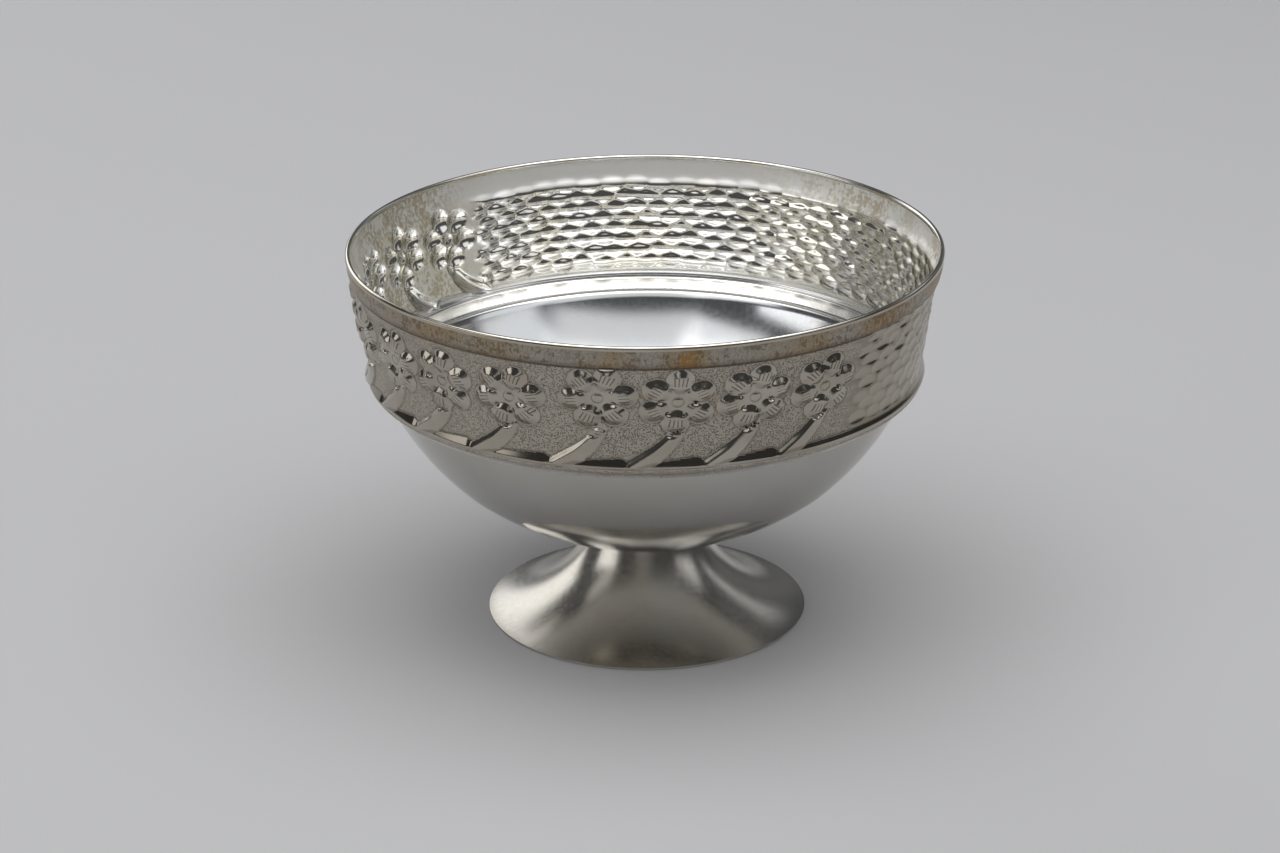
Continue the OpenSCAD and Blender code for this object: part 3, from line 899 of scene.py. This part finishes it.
def chasedSilver():
    material, tree, shader = newFinish("chasedSilver")
    shader.inputs["Metallic"].default_value = 1.0
    place = addNode(tree, "TexCoord").outputs["Object"]
    height = addNode(tree, "SeparateXYZ", {"Vector": place}).outputs["Z"]

    def attribute(name, output="Fac"):
        return addNode(tree, "Attribute", attribute_name=name).outputs[output]

    def plus(a, b):
        return maths(tree, "ADD", a, b)

    def minus(a, b):
        return maths(tree, "SUBTRACT", a, b)

    def times(a, b):
        return maths(tree, "MULTIPLY", a, b)

    def most(a, b):
        return maths(tree, "MAXIMUM", a, b)

    def size(a):
        return maths(tree, "ABSOLUTE", a)

    def fade(value, key):
        return fadeNode(tree, value, *chasing[key])

    def noise(key, stretch=None):
        return noiseNode(tree, place, *chasing[key], stretch)

    def paint(under, over, amount):  # the names of two colours, or the output of a node for the lower one
        under = chasing[under] if isinstance(under, str) else under
        return mixNode(tree, amount, under, chasing[over])

    struck = attribute("struck")
    tarnish = attribute("tarnish")
    cover = attribute("cover")
    paintedShade = attribute("paintedShade")
    isBack = attribute("isBack")
    outside = minus(1.0, isBack)
    petalPlace = addNode(tree, "SeparateXYZ", {"Vector": attribute("petalPlace", "Vector")})
    along, across, fromMiddle = petalPlace.outputs

    # fans of short engraved lines near the end of each petal, and a ring round its button
    fanWider, fanStep = chasing["fan"]
    fan = maths(tree, "DIVIDE", across, plus(times(along, fanWider), fanStep))
    line = size(minus(maths(tree, "FRACT", plus(fan, 10.0)), 0.5))
    line = minus(1.0, fade(line, "lineEdge"))
    onPetal = times(fade(along, "lineStart"), minus(1.0, fade(along, "lineEnd")))
    onPetal = times(onPetal, minus(1.0, fade(size(across), "lineSide")))
    ring = minus(1.0, fade(size(minus(fromMiddle, chasing["ring"])), "ringEdge"))
    engraved = times(most(times(line, onPetal), times(ring, chasing["ringShare"])), outside)

    # relief, matted ground and hammer marks outside
    collar = fadeNode(tree, height, wall["groove"] * mm, (wall["groove"] + chasing["collarFade"]) * mm)
    outsideCollar = times(collar, outside)
    bare = minus(1.0, most(cover, struck))
    ground = times(times(bare, outside), minus(1.0, collar))
    stipple = addNode(tree, "TexVoronoi", {"Vector": place, "Scale": chasing["stipple"]})
    pits = fade(stipple.outputs["Distance"], "pitted")
    cloud = noise("cloud")
    speck = noise("speck")
    streak = noise("streak", chasing["upright"])
    plain = paint("reliefDull", "relief", fade(cloud, "cloudy"))
    colour = mixNode(tree, ground, plain, paint("groundLow", "ground", pits))
    colour = paint(colour, "hammered", times(times(struck, outside), minus(1.0, cover)))

    # tarnish on the collar, with painted shade by its groove; then painted shade and engraved lines over the
    # whole wall
    blotch = plus(noise("blotch"), times(minus(streak, 0.5), chasing["streakInBlotch"]))
    blotch = plus(blotch, times(minus(noise("patch"), 0.5), chasing["patchInBlotch"]))
    spots = fade(plus(blotch, times(tarnish, chasing["tarnishInBlotch"])), "spotted")
    scribble = fade(plus(noise("scribble"), times(tarnish, chasing["tarnishInScribble"])), "scribbled")
    warm = times(outsideCollar, fade(tarnish, "warmTarnish"))
    colour = paint(colour, "collar", outsideCollar)
    colour = paint(colour, "collarWarm", times(warm, fade(noise("warmth"), "warmed")))
    streaks = times(collar, most(fade(streak, "streaked"), scribble))
    colour = paint(colour, "groundLow", times(streaks, chasing["streaks"]))
    colour = paint(colour, "brown", times(times(spots, collar), chasing["spots"]))
    colour = paint(colour, "orange", times(times(spots, warm), fade(tarnish, "burntTarnish")))
    # brown by the groove: tarnish, with painted shade where the collar meets the groove
    tarnishAndShadeByGroove = times(outsideCollar, minus(1.0, fade(height, "grooveBrown")))
    colour = paint(colour, "brown", times(tarnishAndShadeByGroove, chasing["tarnishAndShadeByGroove"]))
    # painted shade in creases and beside the relief, together with the engraved lines
    paintedDark = most(paintedShade, times(engraved, chasing["lines"]))
    colour = paint(colour, "paintedShade", times(paintedDark, chasing["paintedDarkShare"]))

    # inside, polished where it was struck, with a satin ground and a painted highlight
    insideColour = paint("inside", "insideDull", fade(cloud, "insideCloudy"))
    insideCollar = fade(height, "insideCollar")
    ledgeTop = minus(1.0, fade(height, "ledgeTop"))
    smooth = most(cover, times(struck, minus(1.0, insideCollar)))
    satin = times(minus(1.0, smooth), fade(height, "satinFrom"))
    # painted highlight: whiter at the top of the ledge and on the inside collar
    paintedHighlight = most(ledgeTop, times(insideCollar, chasing["collarHighlight"]))
    insideColour = paint(insideColour, "paintedHighlight", paintedHighlight)
    golden = times(fade(blotch, "golden"), times(satin, fade(tarnish, "goldTarnish")))
    insideColour = paint(insideColour, "gold", times(golden, chasing["golds"]))
    tree.links.new(mixNode(tree, isBack, colour, insideColour), shader.inputs["Base Color"])

    rough = chasing["rough"]["all"]
    places = {
        "ground": ground,
        "polished": times(cover, outside),
        "speck": speck,
        "collar": outsideCollar,
        "back": isBack,
        "satin": times(isBack, satin),
        "ledgeTop": times(isBack, ledgeTop),
    }
    for key, where in places.items():
        rough = plus(rough, times(where, chasing["rough"][key]))
    tree.links.new(rough, shader.inputs["Roughness"])

    deep = chasing["deep"]
    dents = times(pits, times(ground, deep["stipple"]))
    dents = plus(dents, times(engraved, deep["engraved"]))
    dents = plus(dents, times(speck, deep["speck"]))
    dents = plus(dents, times(streak, times(collar, deep["streak"])))
    tree.links.new(bumpNode(tree, dents, 1.0), shader.inputs["Normal"])
    return material


def dress(piece, material):
    piece.data.materials.clear()
    piece.data.materials.append(material)


chased = chasedSilver()
for piece in bandPieces:
    dress(piece, chased)
dress(lipPiece, silver("wireSilver", finishes["wire"]))
dress(dishPiece, silver("polishedDish", finishes["dish"]))
dress(footPiece, silver("polishedFoot", finishes["foot"]))
dress(ledgeSolder, silver("ledgeSolderHighlight", finishes["ledgeSolder"]))
dress(neckSolder, silver("neckSolderShade", finishes["neckSolder"]))
print("finishes")


# floor and light

studio = {
    "floorSize": 3.4,  # metres, as all lengths here
    "floorPlace": (0, 0.3, 0),
    "floorColour": (0.57, 0.57, 0.58),
    "floorRoughness": 0.9,
    "floorGloss": 0.1,
    "world": 0.065,
    "worldColour": (0.92, 0.96, 1.0),
    "aim": (0.0, 0.0, 0.07),
    # from the front to the right and up in degrees, distance, width, height, radiance, roll, faded edge
    "softboxes": {
        "overhead": (0, 89, 1.75, 3.7, 2.7, 2.1, 0, 0.3),
        "front": (14, 49, 2.3, 3.3, 1.05, 0.68, -9, 0.2),
        "frontLow": (-8, 8, 2.2, 1.7, 0.32, 0.85, 0, 0.35),
        "frontRight": (72, 33, 1.9, 1.3, 0.85, 0.74, -6, 0.22),
        "frontLeft": (-50, 46, 1.9, 1.5, 0.62, 0.85, 6, 0.2),
        "left": (-75, 18, 1.5, 1.0, 0.6, 1.25, 10, 0.1),
        "backLeft": (-145, 19, 1.6, 1.45, 0.9, 1.35, -18, 0.16),
        "backRight": (130, 27, 1.8, 2.1, 0.32, 0.5, 13, 0.25),
        "backFill": (150, 12, 2.4, 2.6, 0.7, 0.08, 0, 0.2),
    },
}


def studioFloor():
    bpy.ops.object.select_all(action="DESELECT")
    bpy.ops.mesh.primitive_plane_add(size=studio["floorSize"], location=studio["floorPlace"])
    floor = bpy.context.object
    floor.name = "floor"
    material, _, shader = newFinish("floorPaper")
    shader.inputs["Base Color"].default_value = (*studio["floorColour"], 1)
    shader.inputs["Roughness"].default_value = studio["floorRoughness"]
    shader.inputs["Specular IOR Level"].default_value = studio["floorGloss"]
    dress(floor, material)


def softbox(name, turn, up, distance, wide, high, radiance, roll, faded):
    lamp = bpy.data.lights.new(name, "AREA")
    lamp.shape = "RECTANGLE"
    lamp.size = wide
    lamp.size_y = high
    lamp.energy = radiance * math.pi * wide * high
    lamp.use_nodes = True
    tree = lamp.node_tree
    spot = addNode(tree, "NewGeometry").outputs["Parametric"]
    sides = addNode(tree, "SeparateXYZ", {"Vector": spot}).outputs
    fades = []
    for side in ("X", "Y"):
        fromMiddle = maths(tree, "ABSOLUTE", maths(tree, "SUBTRACT", sides[side], 0.5))
        fades.append(fadeNode(tree, fromMiddle, 0.5, 0.5 - faded))
    tree.links.new(maths(tree, "MULTIPLY", *fades), tree.nodes["Emission"].inputs["Strength"])
    box = bpy.data.objects.new(name, lamp)
    bpy.context.scene.collection.objects.link(box)
    a, e = math.radians(turn), math.radians(up)
    towards = Vector((math.sin(a) * math.cos(e), -math.cos(a) * math.cos(e), math.sin(e)))
    box.location = Vector(studio["aim"]) + towards * distance
    box.rotation_euler = ((-towards).to_track_quat("-Z", "Y").to_matrix()
                          @ Matrix.Rotation(math.radians(roll), 3, "Z")).to_euler()


studioFloor()
for name, values in studio["softboxes"].items():
    softbox(name, *values)
world = bpy.data.worlds.new("studioWorld")
bpy.context.scene.world = world
world.use_nodes = True
background = world.node_tree.nodes["Background"]
background.inputs["Color"].default_value = (*studio["worldColour"], 1)
background.inputs["Strength"].default_value = studio["world"]


# the camera, at the photograph's place

view = {
    "place": (-0.0016, -0.9167, 0.4168),  # metres
    "pitchDown": math.radians(21.66),
    "roll": math.radians(-0.4),
    "lens": 101.77,
    "sensor": 36.0,
}

camera = bpy.data.cameras.new("camera")
camera.lens = view["lens"]
camera.sensor_width = view["sensor"]
cameraStand = bpy.data.objects.new("camera", camera)
bpy.context.scene.collection.objects.link(cameraStand)
cameraStand.matrix_world = (Matrix.Translation(view["place"])
                            @ Matrix.Rotation(math.pi / 2 - view["pitchDown"], 4, "X")
                            @ Matrix.Rotation(view["roll"], 4, "Z"))
bpy.context.scene.camera = cameraStand
bpy.context.scene.view_settings.view_transform = "Standard"
print("studio")
